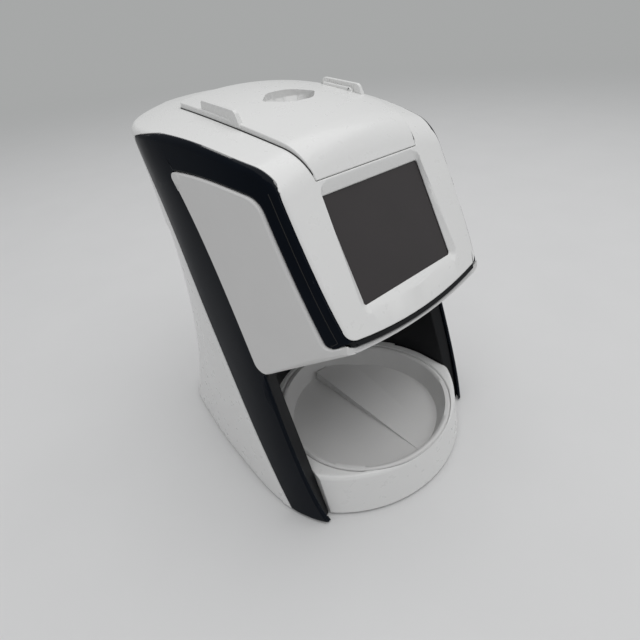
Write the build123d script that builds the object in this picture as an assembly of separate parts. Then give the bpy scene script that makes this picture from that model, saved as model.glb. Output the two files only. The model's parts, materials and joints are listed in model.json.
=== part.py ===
from build123d import *
from math import atan2, degrees, hypot, tan, radians
import os

# Phosphor plate scanner for a clinic desk. Millimetres, +Z up, front towards -Y.
# The origin is on the table, under the middle of the scanner's outline.

# Overall sizes that the outlines follow
half_width = 75.5
half_depth = 100.0
shell_height = 200.0

# Walls and clearances
shell_wall = 2.5
bezel_wall = 4.5
top_wall = 3.6
inlay_thickness = 2.2
insert_rise = 0.9
rear_step = 0.8
seam_gap = 0.3
slide_gap = 0.3
running_clearance = 0.05
overrun = 6.0
edge_radius = 4.5
feet_height = 1.5

# Shape of the shell
crown_drop = 12.2
crown_reach = 80.0
brow_radius = 26.0
bezel_setback = 1.2
strip_width = 6.5
arm_width = 9.8

# Screen opening, its levels as shares of the length of the bezel
recess_span_shares = (0.0808, 1.0095)
window_span_shares = (0.149, 0.932)
recess_top_half = 33.2
recess_foot_half = 36.3
recess_radius = 5.0
window_half = 32.6
window_radius = 1.5
recess_depth = 2.0
glass_seat_depth = 2.6
glass_margin = 3.0
glass_thickness = 1.2
connector_count = 3
connector_half = 6.0
connector_rise = 5.0
post_spread = 40.5
post_radius = 2.5
lcd_thickness = 3.4
lcd_margin = 1.6
display_board_thickness = 1.6
bracket_thickness = 1.5
bezel_half = 50.2
bezel_sag = 5.5
bezel_drop = 5.6
bezel_corner = 7.0
trim_width = 2.5
lip_width = 1.9
lip_clearance = 0.9
chin_clearance = 3.4
trim_setback = 0.8
trim_depth = 2.6

# Top cover
cover_rise = 2.4
cover_seat = 1.7
cover_front_half = 32.8
cover_mid_half = 39.2
cover_rear_half = 39.2
cover_mid_y = -14.0
cover_rear_y = 50.0
cover_rear_bow = 2.5
cover_corner = 5.0
fin_length = 24.0
fin_front_y = 0.4
fin_thickness = 1.8
fin_rise = 2.0
fin_slope = 2.3
fin_radius = 3.0
mouth_y = 8.0
mouth_width = 34.0
mouth_flat_half = 7.5
mouth_depth_half = 9.5
mouth_round = 11.0
mouth_tip = 1.8
mouth_edge = 1.2
funnel_wall = 1.5
funnel_drop = 6.0

# Cave, base and tray
cave_radius = 62.5
cave_centre_y = -45.0
cave_wall = 2.8
leg_back_y = -20.0
leg_slant = 4.4
frame_wall = 2.0
frame_margin = 4.0
base_front_radius = 83.2
base_taper = 5.2
base_centre_y = -16.5
base_top = 28.0
base_edge_radius = 3.0
base_wall = 2.5
base_step = 0.4
tray_half_width = 53.3
tray_front_reach = 46.5
tray_rear_reach = 57.0
tray_wall = 1.8
tray_floor = 14.5
tray_floor_share = 0.92
tray_flange = 1.4
tray_flange_thickness = 1.6
ramp_height = 6.5
ramp_width = 33.0
bottom_plate_thickness = 2.0
foot_radius = 6.0
screw_grip = 8.0
screw_boss_radius = 3.5
screw_key_radius = 1.4
screw_key_depth = 0.9
foot_reach_shares = [(-0.62, 0.50), (0.55, 0.66)]
screw_shares = [(-0.80, 0.56), (0.885, 0.40)]

# Plate drive inside the column
plate_slot = 5.0
guide_wall = 2.0
guide_top_gap = 1.0
rod_radius = 2.5
rod_spread = 16.0
drive_y = 36.0
screw_radius = 3.0
bearing_radius = 6.5
bearing_height = 5.0
block_height = 8.0
block_half = 24.0
block_drop = 7.0
chassis_y = 51.0
chassis_thickness = 3.0
chassis_half = 42.0
chassis_foot_depth = 20.0
carriage_half = 22.0
carriage_height = 14.0
carriage_front = 28.0
carriage_back = 44.0
nut_radius = 5.5
nut_flange_radius = 9.0
nut_flange_height = 3.0
arm_half = 4.0
magnet_height = 10.0
motor_size = 28.0
motor_height = 32.0
motor_corner = 3.0
coupling_radius = 8.0
coupling_height = 14.0
motor_shaft_radius = 2.5

chassis_drop = 10.0
bracket_height = 3.0
coupling_gap = 1.5
thread_depth = 0.5
motor_step = 1.0
motor_cap = 8.0
travel_share = 0.28
travel_end_gap = 4.5
arm_reach = 2.0
bushing_radius = 4.5
guide_ear = 5.0

# Scanning optics in the head
bench_half = 36.0
bench_post_share = 0.8
bench_post_radius = 3.0
bench_inset = 8.0
bench_front_inset = 17.0
galvo_lip = 3.0
galvo_flange = 1.5
mirror_hub_radius = 3.2
bench_top_share = 0.655
bench_thickness = 3.0
bench_front_y = -50.0
bench_back_y = 0.0
beam_rise = 11.5
mirror_y = -36.0
mirror_width = 12.0
mirror_height = 9.0
mirror_thickness = 1.6
mirror_shaft_radius = 1.5
mirror_shaft_length = 9.0
galvo_radius = 7.0
galvo_height = 20.0
galvo_rise = 3.0
laser_radius = 5.0
laser_length = 24.0
laser_gap = 9.0
laser_block = 15.0
lens_y = -14.0
lens_depth = 5.0
lens_length = 40.0
lens_height = 12.0
lens_bulge = 2.5
lens_foot = 3.0
light_guide_depth = 4.6
light_guide_height = 6.0
light_guide_half = 20.0
detector_radius = 9.0
detector_length = 21.0
lamp_height = 20.0
lamp_board = 1.6
lamp_gap = 4.0
led_size = 2.4
led_count = 6
slit_height = 3.0

# Electronics and rear sockets
main_board_half = 34.0
main_board_span_shares = (0.20, 0.64)
board_thickness = 1.6
standoff_length = 4.0
standoff_radius = 2.5
standoff_inset = 5.0
chip_shares = [
    (-0.55, 0.25, 1.0), (0.50, 0.22, 0.8), (-0.6, 0.80, 0.7), (0.15, 0.84, 0.5), (0.65, 0.75, 0.6)]
chip_height = 2.0
chip_size = 14.0
heatsink_size = 22.0
heatsink_fins = 6
heatsink_height = 9.0
pocket_half = 36.0
pocket_low = 12.0
pocket_high = 34.0
pocket_floor_y = 92.5
pocket_corner = 4.0
pocket_rim = 3.0
button_x = -24.0
button_radius = 5.0
button_rise = 2.4
button_travel = 1.5
button_collar = 1.2
button_chamfer = 0.8
button_stem_radius = 2.0
button_stem_length = 6.0
switch_size = 11.0
inlet_x = -4.0
inlet_size = 9.5
inlet_bore = 2.8
inlet_pin = 1.0
inlet_depth = 13.0
network_x = 18.0
network_width = 16.0
network_height = 13.5
network_depth = 18.0
network_wall = 1.5
socket_board_depth = 26.0
screw_head_radius = 2.8
screw_head_height = 1.2
screw_shank_radius = 1.5

# Plan outlines: share of the half depth from the front, share of the half width
foot_section_shares = [
    (-1.12, 0.0), (-0.93, 0.62), (-0.745, 0.90), (-0.53, 1.025), (-0.1, 1.035),
    (0.30, 0.99), (0.60, 0.935), (0.80, 0.87), (0.94, 0.69), (1.005, 0.40), (1.0255, 0.0),
]
waist_section_shares = [
    (-1.05, 0.0), (-0.94, 0.46), (-0.78, 0.695), (-0.62, 0.812), (-0.37, 0.92),
    (-0.05, 0.953), (0.16, 0.94), (0.41, 0.86), (0.61, 0.725), (0.78, 0.46), (0.87, 0.0),
]
brow_section_shares = [
    (-0.92, 0.0), (-0.76, 0.30), (-0.62, 0.47), (-0.47, 0.59), (-0.24, 0.71),
    (0.0, 0.77), (0.32, 0.845), (0.60, 0.865), (0.75, 0.745), (0.855, 0.48), (0.905, 0.0),
]
section_level_shares = [-0.04, 0.55, 1.05]

# Side view points: share of the half depth, share of the shell height
bezel_foot_share = (-0.782, 0.62)
bezel_brow_share = (-0.466, 0.9005)
head_corner_share = 0.965
head_top_share = (0.20, 1.023)
head_rear_share = (1.12, 0.992)
inlay_toe_share = (-0.745, 0.0)
inlay_knee_share = (-0.39, 0.4725)
inlay_arm_share = 0.613
inlay_corner_share = 0.945
inlay_top_share = (0.12, 0.989)
inlay_tail_share = (0.57, 0.9625)
inlay_back_share = (-0.014, 0.485)
inlay_heel_share = (-0.535, 0.0)
insert_tip_share = (0.196, 0.912)
insert_top_share = (-0.06, 0.913)
insert_corner_share = 0.892
insert_back_share = (-0.043, 0.7575)
insert_knee_share = (-0.375, 0.4705)
insert_nose_share = (-0.786, 0.5885)
insert_arm_end_share = 0.592
rear_seam_share = 0.74
inlay_corner_radius = 24.0
inlay_tail_radius = 5.0
insert_corner_radius = 12.0
insert_tip_radius = 2.0
insert_knee_radius = 7.0
insert_arm_radius = 4.0


def side_point(share):
    return (share[0] * half_depth, share[1] * shell_height)


bezel_foot = side_point(bezel_foot_share)
bezel_brow = side_point(bezel_brow_share)
bezel_run = bezel_brow[0] - bezel_foot[0]
bezel_climb = bezel_brow[1] - bezel_foot[1]
bezel_length = hypot(bezel_run, bezel_climb)
bezel_normal = Vector(0, -bezel_climb, bezel_run).normalized()
bezel_plane = Plane(origin=(0, *bezel_foot), x_dir=(1, 0, 0), z_dir=bezel_normal)
bezel_stretch = bezel_length / bezel_climb
recess_low, recess_high = [share * bezel_length for share in recess_span_shares]
window_low, window_high = [share * bezel_length for share in window_span_shares]
plate_y = mouth_y
cave_ceiling = insert_knee_share[1] * shell_height
far = half_depth + half_width
half_turn = 180


def bezel_y(level):
    return bezel_foot[0] + (level - bezel_foot[1]) * bezel_run / bezel_climb


# Side view point at a height up the bezel and a depth out of it
def bezel_point(up, out):
    place = bezel_plane.from_local_coords((0, up, out))
    return (place.Y, place.Z)


def block(x0, x1, y0, y1, z0, z1):
    return Pos((x0 + x1) / 2, (y0 + y1) / 2, (z0 + z1) / 2) * Box(x1 - x0, y1 - y0, z1 - z0)


def upright(radius, x, y, z0, z1):
    return Pos(x, y, (z0 + z1) / 2) * Cylinder(radius, z1 - z0)


def along_x(radius, x0, x1, y, z):
    return Pos((x0 + x1) / 2, y, z) * Rot(0, 90, 0) * Cylinder(radius, x1 - x0)


def along_y(radius, x, y0, y1, z):
    return Pos(x, (y0 + y1) / 2, z) * Rot(90, 0, 0) * Cylinder(radius, y1 - y0)


# Plan section of the body, drawn as one spline half and its mirror image
def plan_section(shares, inset, level):
    points = [Vector(w * half_width, y * half_depth, level) for y, w in shares]
    moved = []
    for k, point in enumerate(points):
        if k == 0:
            run = Vector(1, 0, 0)
        elif k == len(points) - 1:
            run = Vector(-1, 0, 0)
        else:
            run = points[k + 1] - points[k - 1]
        outward = Vector(run.Y, -run.X, 0).normalized()
        moved.append(point - outward * inset)
    right = Spline(*moved, tangents=[(1, 0, 0), (-1, 0, 0)])
    left = right.mirror(Plane.YZ)
    return Face(Wire([right.edge(), left.edge()]))


def envelope(inset):
    tables = (foot_section_shares, waist_section_shares, brow_section_shares)
    levels = [share * shell_height for share in section_level_shares]
    return loft([plan_section(t, inset, z) for t, z in zip(tables, levels)])


# Side profile of the head, lofted across the width so that the top is crowned
def head_profile(x, drop, lift, setback):
    corner_z = head_corner_share * shell_height - drop + lift
    corner = (bezel_y(corner_z) + setback * bezel_stretch, corner_z)
    low = (bezel_y(-overrun) + setback * bezel_stretch, -overrun)
    top = side_point(head_top_share)
    rear = side_point(head_rear_share)
    top = (top[0], top[1] - drop + lift)
    rear = (rear[0], rear[1] - drop + lift)
    edges = [
        Line(low, corner),
        ThreePointArc(corner, top, rear),
        Line(rear, (rear[0], -overrun)),
        Line((rear[0], -overrun), low),
    ]
    outline = make_face(edges)
    brow = outline.vertices().sort_by_distance(Vector(corner[0], corner[1], 0))[0]
    outline = fillet(brow, brow_radius)
    return (Plane.YZ.offset(x) * outline).face()


def head_solid(lift, setback):
    rows = ((-crown_reach, crown_drop), (0.0, 0.0), (crown_reach, crown_drop))
    return loft([head_profile(x, drop, lift, setback) for x, drop in rows])


def body(inset, lift, setback, radius):
    solid = envelope(inset) & head_solid(lift, setback)
    if radius:
        rim = []
        for edge in solid.edges():
            box = edge.bounding_box()
            seam = abs(edge.center().X) < seam_gap and box.size.X < seam_gap
            cross = abs(edge.center().X) < seam_gap and box.max.Y < 0
            if box.max.Z > base_top + cave_ceiling and not seam and not cross:
                rim.append(edge)
        solid = fillet(rim, radius)
    return solid


def across(outline, x0, x1):
    return extrude(Plane.YZ.offset(x0) * outline, x1 - x0)


def polygon(points):
    return make_face(Polyline(*points, close=True))


def near(outline, point):
    return outline.vertices().sort_by_distance(Vector(point[0], point[1], 0))[0]


# Outline of the black side panel: leg, top arm and front arm in one closed loop
def inlay_outline():
    toe = side_point(inlay_toe_share)
    knee = side_point(inlay_knee_share)
    arm_z = inlay_arm_share * shell_height
    corner_z = inlay_corner_share * shell_height
    arm = (bezel_y(arm_z) + bezel_setback, arm_z)
    corner = (bezel_y(corner_z) + bezel_setback, corner_z)
    tail = side_point(inlay_tail_share)
    heel = side_point(inlay_heel_share)
    toe = (toe[0], feet_height)
    heel = (heel[0], feet_height)
    edges = [
        Line(toe, knee),
        Line(knee, arm),
        Line(arm, corner),
        ThreePointArc(corner, side_point(inlay_top_share), tail),
        ThreePointArc(tail, side_point(inlay_back_share), heel),
        Line(heel, toe),
    ]
    outline = make_face(edges)
    outline = fillet(near(outline, corner), inlay_corner_radius)
    return fillet(near(outline, tail), inlay_tail_radius)


# Outline of the raised white side panel, down to the line of the belly
def insert_outline():
    tip = side_point(insert_tip_share)
    corner_z = insert_corner_share * shell_height
    corner = (bezel_y(corner_z) + bezel_setback + arm_width, corner_z)
    end_z = insert_arm_end_share * shell_height
    arm_end = (bezel_y(end_z) + bezel_setback + arm_width, end_z)
    nose = side_point(insert_nose_share)
    lip_z = inlay_arm_share * shell_height - seam_gap
    lip = (bezel_y(lip_z) + bezel_setback, lip_z)
    knee = side_point(insert_knee_share)
    edges = [
        ThreePointArc(tip, side_point(insert_top_share), corner),
        Line(corner, arm_end),
        Line(arm_end, lip),
        Line(lip, nose),
        Line(nose, knee),
        ThreePointArc(knee, side_point(insert_back_share), tip),
    ]
    outline = make_face(edges)
    outline = fillet(near(outline, corner), insert_corner_radius)
    outline = fillet(near(outline, tip), insert_tip_radius)
    outline = fillet(near(outline, arm_end), insert_arm_radius)
    return fillet(near(outline, knee), insert_knee_radius)


# Plan outline of the cave between the legs, open to the front
def cave_outline(grow):
    radius = cave_radius + grow
    front = cave_centre_y - far
    edges = [
        CenterArc((0, cave_centre_y), radius, 0, half_turn),
        Line((-radius, cave_centre_y), (-radius, front)),
        Line((-radius, front), (radius, front)),
        Line((radius, front), (radius, cave_centre_y)),
    ]
    return make_face(edges)


# Egg-shaped outline of the tray, two half ellipses that share their width
def egg(grow, level):
    wide = tray_half_width + grow
    front = tray_front_reach + grow
    rear = tray_rear_reach + grow
    place = Plane((0, cave_centre_y, level))
    edges = [
        EllipticalCenterArc((0, 0), wide, rear, start_angle=0, arc_size=half_turn),
        EllipticalCenterArc((0, 0), wide, front, start_angle=half_turn, arc_size=half_turn),
    ]
    return (place * make_face(edges)).face()


solid_body = body(0.0, 0.0, 0.0, edge_radius)
solid_core = body(shell_wall, -top_wall, bezel_wall, 0.0)
outer_envelope = envelope(0.0)
core_envelope = envelope(shell_wall)
inlay_envelope = envelope(inlay_thickness)
inlay_face = inlay_outline()
insert_face = insert_outline()
inlay_prism = across(inlay_face, -far, far)
inlay_prism_wide = across(offset(inlay_face, seam_gap), -far, far)
insert_prism = across(insert_face, -far, far)
insert_prism_wide = across(offset(insert_face, seam_gap), -far, far)

# Main shell: side strips, crowned top and tilted bezel in one moulding
rear_seam = rear_seam_share * shell_height
back = side_point(inlay_back_share)
heel = side_point(inlay_heel_share)
tail = side_point(inlay_tail_share)
strip_foot = (heel[0] + strip_width, feet_height)
strip_back = (back[0] + strip_width * bezel_stretch, back[1])
strip_slope = (tail[0] - back[0]) / (tail[1] - back[1])
strip_top = (strip_back[0] + (rear_seam - strip_back[1]) * strip_slope, rear_seam)
knee = side_point(inlay_knee_share)
chin_y, chin_z = bezel_point(recess_low, -bezel_wall)
lip_y, lip_z = bezel_point(recess_low, far)
main_region = make_face([
    Line((-far, far + shell_height), (far, far + shell_height)),
    Line((far, far + shell_height), (far, rear_seam)),
    Line((far, rear_seam), strip_top),
    Line(strip_top, strip_back),
    Line(strip_back, strip_foot),
    Line(strip_foot, (heel[0] - strip_width, feet_height)),
    Line((heel[0] - strip_width, feet_height), back),
    Line(back, (chin_y, chin_z)),
    Line((chin_y, chin_z), (lip_y, lip_z)),
    Line((lip_y, lip_z), (-far, far + shell_height)),
])
main_region = fillet(near(main_region, strip_top), strip_width)


# Lower edge of the bezel: a shallow bow with rounded corners, seen square to the bezel
def bow_outline(half, sag, drop, corner):
    end = sag - drop
    outline = make_face([
        Line((-half, end), (-half, bezel_length + far)),
        Line((-half, bezel_length + far), (half, bezel_length + far)),
        Line((half, bezel_length + far), (half, end)),
        ThreePointArc((half, end), (0, -drop), (-half, end)),
    ])
    for side in (-1, 1):
        outline = fillet(near(outline, (side * half, end)), corner)
    return outline


bow = bow_outline(bezel_half, bezel_sag, bezel_drop, bezel_corner)
strip = polygon([(-far, -far), (far, -far), (far, recess_low), (-far, recess_low)])
chin = extrude(bezel_plane.offset(-bezel_wall) * (bow & strip), bezel_wall + far)
main_shell = (solid_body - solid_core) & across(main_region, -far, far)
main_shell += solid_body & chin
main_shell -= inlay_prism_wide - core_envelope
main_shell -= insert_prism_wide - core_envelope

# Screen recess with sloped walls, and the seat of the glass behind it
recess = polygon([
    (-recess_foot_half, recess_low), (recess_foot_half, recess_low),
    (recess_top_half, recess_high), (-recess_top_half, recess_high),
])
recess = fillet(recess.vertices(), recess_radius)
window_height = window_high - window_low
window_mid = (window_high + window_low) / 2
window = Pos(0, window_mid) * RectangleRounded(2 * window_half, window_height, window_radius)
recess_cut = loft([(bezel_plane * recess).face(), (bezel_plane.offset(-recess_depth) * window).face()])
recess_cut += extrude(bezel_plane * recess, overrun)
recess_cut += extrude(bezel_plane.offset(-bezel_wall - overrun) * window, bezel_wall + overrun)
glass_size = (2 * (window_half + glass_margin), window_height + 2 * glass_margin)
glass_seat = Pos(0, window_mid) * Rectangle(glass_size[0] + 2 * seam_gap, glass_size[1] + 2 * seam_gap)
seat_depth = bezel_wall + overrun - glass_seat_depth
recess_cut += extrude(bezel_plane.offset(-glass_seat_depth - seat_depth) * glass_seat, seat_depth)
main_shell -= recess_cut


# Plan outline of the lift-off cover
def cover_outline(grow):
    front_y = bezel_y(shell_height) - far
    front = cover_front_half + grow
    mid = cover_mid_half + grow
    rear = cover_rear_half + grow
    rear_y = cover_rear_y + grow
    brow_y = bezel_brow[0]
    edges = [
        Line((-front, front_y), (front, front_y)),
        Line((front, front_y), (front, brow_y)),
        ThreePointArc((front, brow_y), (mid, cover_mid_y), (rear, rear_y)),
        ThreePointArc((rear, rear_y), (0, rear_y + cover_rear_bow), (-rear, rear_y)),
        ThreePointArc((-rear, rear_y), (-mid, cover_mid_y), (-front, brow_y)),
        Line((-front, brow_y), (-front, front_y)),
    ]
    outline = make_face(edges)
    for side in (-1, 1):
        outline = fillet(near(outline, (side * rear, rear_y)), cover_corner)
    return outline


# The cover lies in a rebate of the shell and stands proud of it
cover_front = recess_high + mouth_edge
cover_edge = bezel_plane.from_local_coords((0, cover_front, 0))
lip_plane = Plane(origin=cover_edge, x_dir=(1, 0, 0), z_dir=bezel_plane.y_dir)
above_lip = extrude(lip_plane * Rectangle(2 * far, 2 * far), far)
seat_top = head_solid(-cover_seat, cover_seat)
cover_column = extrude(cover_outline(0.0), far + shell_height)
cover_column_wide = extrude(cover_outline(seam_gap), far + shell_height)
rebate = (cover_column_wide & above_lip) - seat_top
main_shell -= rebate
cover_blank = head_solid(cover_rise, 0.0) & cover_column
cover_lip = extrude(lip_plane.offset(seam_gap) * Rectangle(2 * far, 2 * far), far)
cover_bottom = head_solid(seam_gap - cover_seat, cover_seat - seam_gap)
top_cover = (cover_blank & cover_lip) - cover_bottom


# Mouth with pointed ends, seen from above
def mouth_outline(grow):
    tip = mouth_width / 2 + grow
    flat = mouth_flat_half + grow / 2
    deep = mouth_depth_half + grow
    corners = [(-tip, 0), (-flat, -deep), (flat, -deep), (tip, 0), (flat, deep), (-flat, deep)]
    outline = polygon(corners)
    for x, y in corners:
        outline = fillet(near(outline, (x, y)), mouth_round if y else mouth_tip)
    return Pos(0, mouth_y) * outline


# Finger fins on both edges of the cover
fin_edge = cover_rear_half - fin_thickness / 2
crown_at_fin = crown_drop * (fin_edge / crown_reach) ** 2
fin_base = shell_height + shell_height * (head_top_share[1] - 1) - crown_at_fin
fin_top = fin_base + cover_rise + fin_rise
fin_face = polygon([
    (fin_front_y, fin_base - cover_seat), (fin_front_y + fin_length, fin_base - cover_seat / 2),
    (fin_front_y + fin_length, fin_top), (fin_front_y, fin_top - fin_slope),
])
fin_face = fillet(near(fin_face, (fin_front_y, fin_top - fin_slope)), fin_radius)
fin_face = fillet(near(fin_face, (fin_front_y + fin_length, fin_top)), fin_slope)
fin = across(fin_face, fin_edge - fin_thickness, fin_edge)
top_cover += fin
top_cover += mirror(fin, about=Plane.YZ)

# Plate mouth: a soft opening that narrows down to the plate slot
seat_level = side_point(head_top_share)[1] - cover_seat
funnel_top = seat_level + cover_seat / 2
funnel_low = seat_level - top_wall - funnel_drop


def funnel(grow):
    slot = Pos(0, mouth_y) * Rectangle(mouth_width + 2 * grow, plate_slot + 2 * grow)
    slot = fillet(slot.vertices(), funnel_wall)
    return loft([
        (Pos(0, 0, funnel_top) * mouth_outline(grow)).face(),
        (Pos(0, 0, funnel_low) * slot).face(),
    ])


funnel_bore = funnel(0.0) + extrude(Pos(0, 0, funnel_top) * mouth_outline(0.0), overrun + top_wall)
top_cover += funnel(funnel_wall)
top_cover -= funnel_bore
mouth_hole = Rectangle(mouth_width + 4 * funnel_wall, 2 * (mouth_depth_half + 2 * funnel_wall))
main_shell -= extrude(Pos(0, mouth_y, funnel_low) * mouth_hole, far)

# Black side panels
inlay_pair = (outer_envelope - inlay_envelope) & solid_body & inlay_prism
inlay_pair -= insert_prism_wide
inlays = inlay_pair.solids().sort_by(Axis.X)

# Belly shell: both raised side panels and the underside of the head, with a lip below the bezel
nose = side_point(insert_nose_share)
knee_low = side_point(insert_knee_share)
belly_body = body(-insert_rise, 0.0, bezel_setback, 0.0)
belly_slope = (nose[1] - knee_low[1]) / (nose[0] - knee_low[0])
tongue_front = knee_low[0] - 2 * insert_knee_radius
tongue_front_z = knee_low[1] - 2 * insert_knee_radius * belly_slope
lip_grow = trim_width + 2 * seam_gap + lip_width
knee_place = bezel_plane.to_local_coords(Vector(0, knee_low[0], knee_low[1]))
chin_front = bezel_point(-bezel_drop - lip_grow - chin_clearance, -bezel_setback)
chin_face = polygon([nose, chin_front, (tongue_front, tongue_front_z)])
belly_prism = insert_prism + across(chin_face, -far, far)
lip_front = bow_outline(bezel_half + lip_grow, bezel_sag, bezel_drop + lip_grow, bezel_corner + lip_grow)
lip_back = bow_outline(half_width + lip_grow, seam_gap, lip_clearance - knee_place.Y, bezel_corner + lip_grow)
lip_faces = [(bezel_plane * lip_front).face(), (bezel_plane.offset(knee_place.Z) * lip_back).face()]
belly_limit = loft(lip_faces) + extrude(lip_faces[1], far, dir=-bezel_plane.z_dir)
belly_block = belly_body & belly_prism & belly_limit
belly_wall = shell_wall * hypot(1, belly_slope)
hollow_face = polygon([
    (nose[0] - far, knee_low[1] + (nose[0] - far - knee_low[0]) * belly_slope + belly_wall),
    (knee_low[0], knee_low[1] + belly_wall),
    (far, knee_low[1] + belly_wall),
    (far, far + shell_height),
    (nose[0] - far, far + shell_height),
])
belly_shell = belly_block - (across(hollow_face, -far, far) & envelope(shell_wall - seam_gap))
trim_back = trim_setback + trim_depth + seam_gap
belly_shell -= extrude(bezel_plane.offset(-trim_back) * offset(bow, trim_width + 2 * seam_gap), far)
belly_shell -= extrude(bezel_plane.offset(-bezel_wall - seam_gap) * offset(bow, seam_gap), far)
tongue_back = cave_centre_y + cave_radius - slide_gap
tongue_top = knee_low[1] + belly_wall
tongue = across(polygon([
    (tongue_front, tongue_front_z), knee_low, (tongue_back, knee_low[1]), (tongue_back, tongue_top),
    (knee_low[0], tongue_top), (tongue_front, tongue_front_z + belly_wall),
]), -far, far)
tongue &= extrude(cave_outline(-slide_gap), far + shell_height)
belly_shell += tongue
exit_slot = block(
    -mouth_width / 2 - guide_wall, mouth_width / 2 + guide_wall,
    plate_y - plate_slot, plate_y + plate_slot,
    cave_ceiling - overrun, cave_ceiling + overrun,
)
belly_shell -= exit_slot
belly_shell = belly_shell.solids().sort_by(SortBy.VOLUME)[-1]

# Thin black band that follows the lower edge of the bezel
band_out = offset(bow, trim_width + seam_gap)
band_in = offset(bow, seam_gap)
band = band_out - band_in
band &= polygon([(-far, -far), (far, -far), (far, recess_low / 2), (-far, recess_low / 2)])
bezel_trim = extrude(bezel_plane.offset(-trim_setback - trim_depth) * band, trim_depth)
bezel_trim &= envelope(inlay_thickness + seam_gap)
bezel_trim = bezel_trim.solids().sort_by(SortBy.VOLUME)[-1]

# White base with its round front, hollow underneath
base_rear = block(-far, far, leg_back_y, far, feet_height, base_top)
base_plan = extrude(cave_outline(-base_step), far)
base_plan += extrude(cave_outline(cave_wall - base_step), far) & base_rear
cone_height = base_top - feet_height
base_top_radius = base_front_radius - base_taper
base_mid = (base_top + feet_height) / 2
base_cone = Pos(0, base_centre_y, base_mid) * Cone(base_front_radius, base_top_radius, cone_height)
base_puck = base_cone & base_plan
front_edges = base_puck.faces().sort_by(Axis.Z)[-1].edges().sort_by(Axis.Y)[0]
base_puck = fillet(front_edges, base_edge_radius)
core_plan = extrude(cave_outline(-base_step - base_wall), base_top - base_wall)
core_cone = Pos(0, base_centre_y, base_mid - base_wall) * Cone(
    base_front_radius - base_wall, base_top_radius - base_wall, cone_height)
base_puck -= core_plan & core_cone
flange_low = base_top - tray_flange_thickness
base_puck -= extrude(egg(tray_wall + slide_gap, base_top - base_wall - overrun), base_wall + 2 * overrun)
base_puck -= extrude(egg(tray_flange + tray_wall + slide_gap, flange_low), overrun)

# Receiving tray: flanged egg-shaped bowl with a sloped wall and a tapering step in its floor
floor_inset = -tray_half_width * (1 - tray_floor_share)
flange_seat = flange_low + slide_gap / 2
tray_out = extrude(egg(tray_flange + tray_wall, flange_seat), base_top - flange_seat)
bowl_foot = egg(floor_inset + tray_wall, tray_floor - tray_wall)
tray_out += loft([bowl_foot, egg(tray_wall, flange_low + slide_gap)])
tray_in = loft([egg(floor_inset, tray_floor), egg(0.0, base_top)])
tray_in += extrude(egg(0.0, base_top), overrun)
receiving_tray = tray_out - tray_in
ramp_back = cave_centre_y + tray_rear_reach + floor_inset
ramp_front = cave_centre_y - tray_front_reach - floor_inset
ramp_plane = Plane(origin=(0, ramp_back, tray_floor), x_dir=(1, 0, 0), z_dir=(0, -1, 0))
ramp_face = polygon([(0, -tray_wall), (ramp_width, -tray_wall), (ramp_width, 0), (0, ramp_height)])
ramp_end = Plane(origin=(0, ramp_front, tray_floor), x_dir=(1, 0, 0), z_dir=(0, -1, 0))
ramp_half = ramp_width / 2
ramp_face_end = polygon([(0, -tray_wall), (ramp_half, -tray_wall), (ramp_half, 0), (0, slide_gap / 2)])
ramp = loft([(ramp_plane * ramp_face).face(), (ramp_end * ramp_face_end).face()])
ramp_foot = egg(floor_inset + tray_wall / 2, tray_floor - tray_wall)
ramp &= loft([ramp_foot, egg(tray_wall / 2, base_top)])
receiving_tray += ramp

# Rear shell behind the legs, with the socket pocket low in its back
rear_region = make_face([
    Line((strip_foot[0] + seam_gap, feet_height), (strip_back[0] + seam_gap, strip_back[1])),
    Line((strip_back[0] + seam_gap, strip_back[1]), (strip_top[0] + seam_gap, rear_seam - seam_gap)),
    Line((strip_top[0] + seam_gap, rear_seam - seam_gap), (far, rear_seam - seam_gap)),
    Line((far, rear_seam - seam_gap), (far, feet_height)),
    Line((far, feet_height), (strip_foot[0] + seam_gap, feet_height)),
])
rear_region = fillet(near(rear_region, (strip_top[0] + seam_gap, rear_seam - seam_gap)), strip_width)
rear_body = envelope(rear_step) & across(rear_region, -far, far)
rear_core = envelope(rear_step + shell_wall)
rear_shell = rear_body - rear_core
pocket_mid = (pocket_low + pocket_high) / 2
pocket_span = pocket_high - pocket_low
pocket_wall = block(
    -pocket_half - pocket_rim, pocket_half + pocket_rim,
    pocket_floor_y - shell_wall, far,
    pocket_low - pocket_rim, pocket_high + pocket_rim,
) & rear_body
rear_shell += pocket_wall
pocket_face = RectangleRounded(2 * pocket_half, pocket_span, pocket_corner)
pocket_plane = Plane(origin=(0, pocket_floor_y, pocket_mid), x_dir=(1, 0, 0), z_dir=(0, 1, 0))
rear_shell -= extrude(pocket_plane * pocket_face, far)
rear_shell -= along_y(button_radius + slide_gap, button_x, 0, far, pocket_mid)
rear_shell -= along_y(inlet_bore + seam_gap, inlet_x, 0, far, pocket_mid)
network_low = pocket_mid - network_height / 2
network_hole = block(
    network_x - network_width / 2 - seam_gap, network_x + network_width / 2 + seam_gap, 0, far,
    network_low - seam_gap, network_low + network_height + seam_gap,
)
rear_shell -= network_hole

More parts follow.
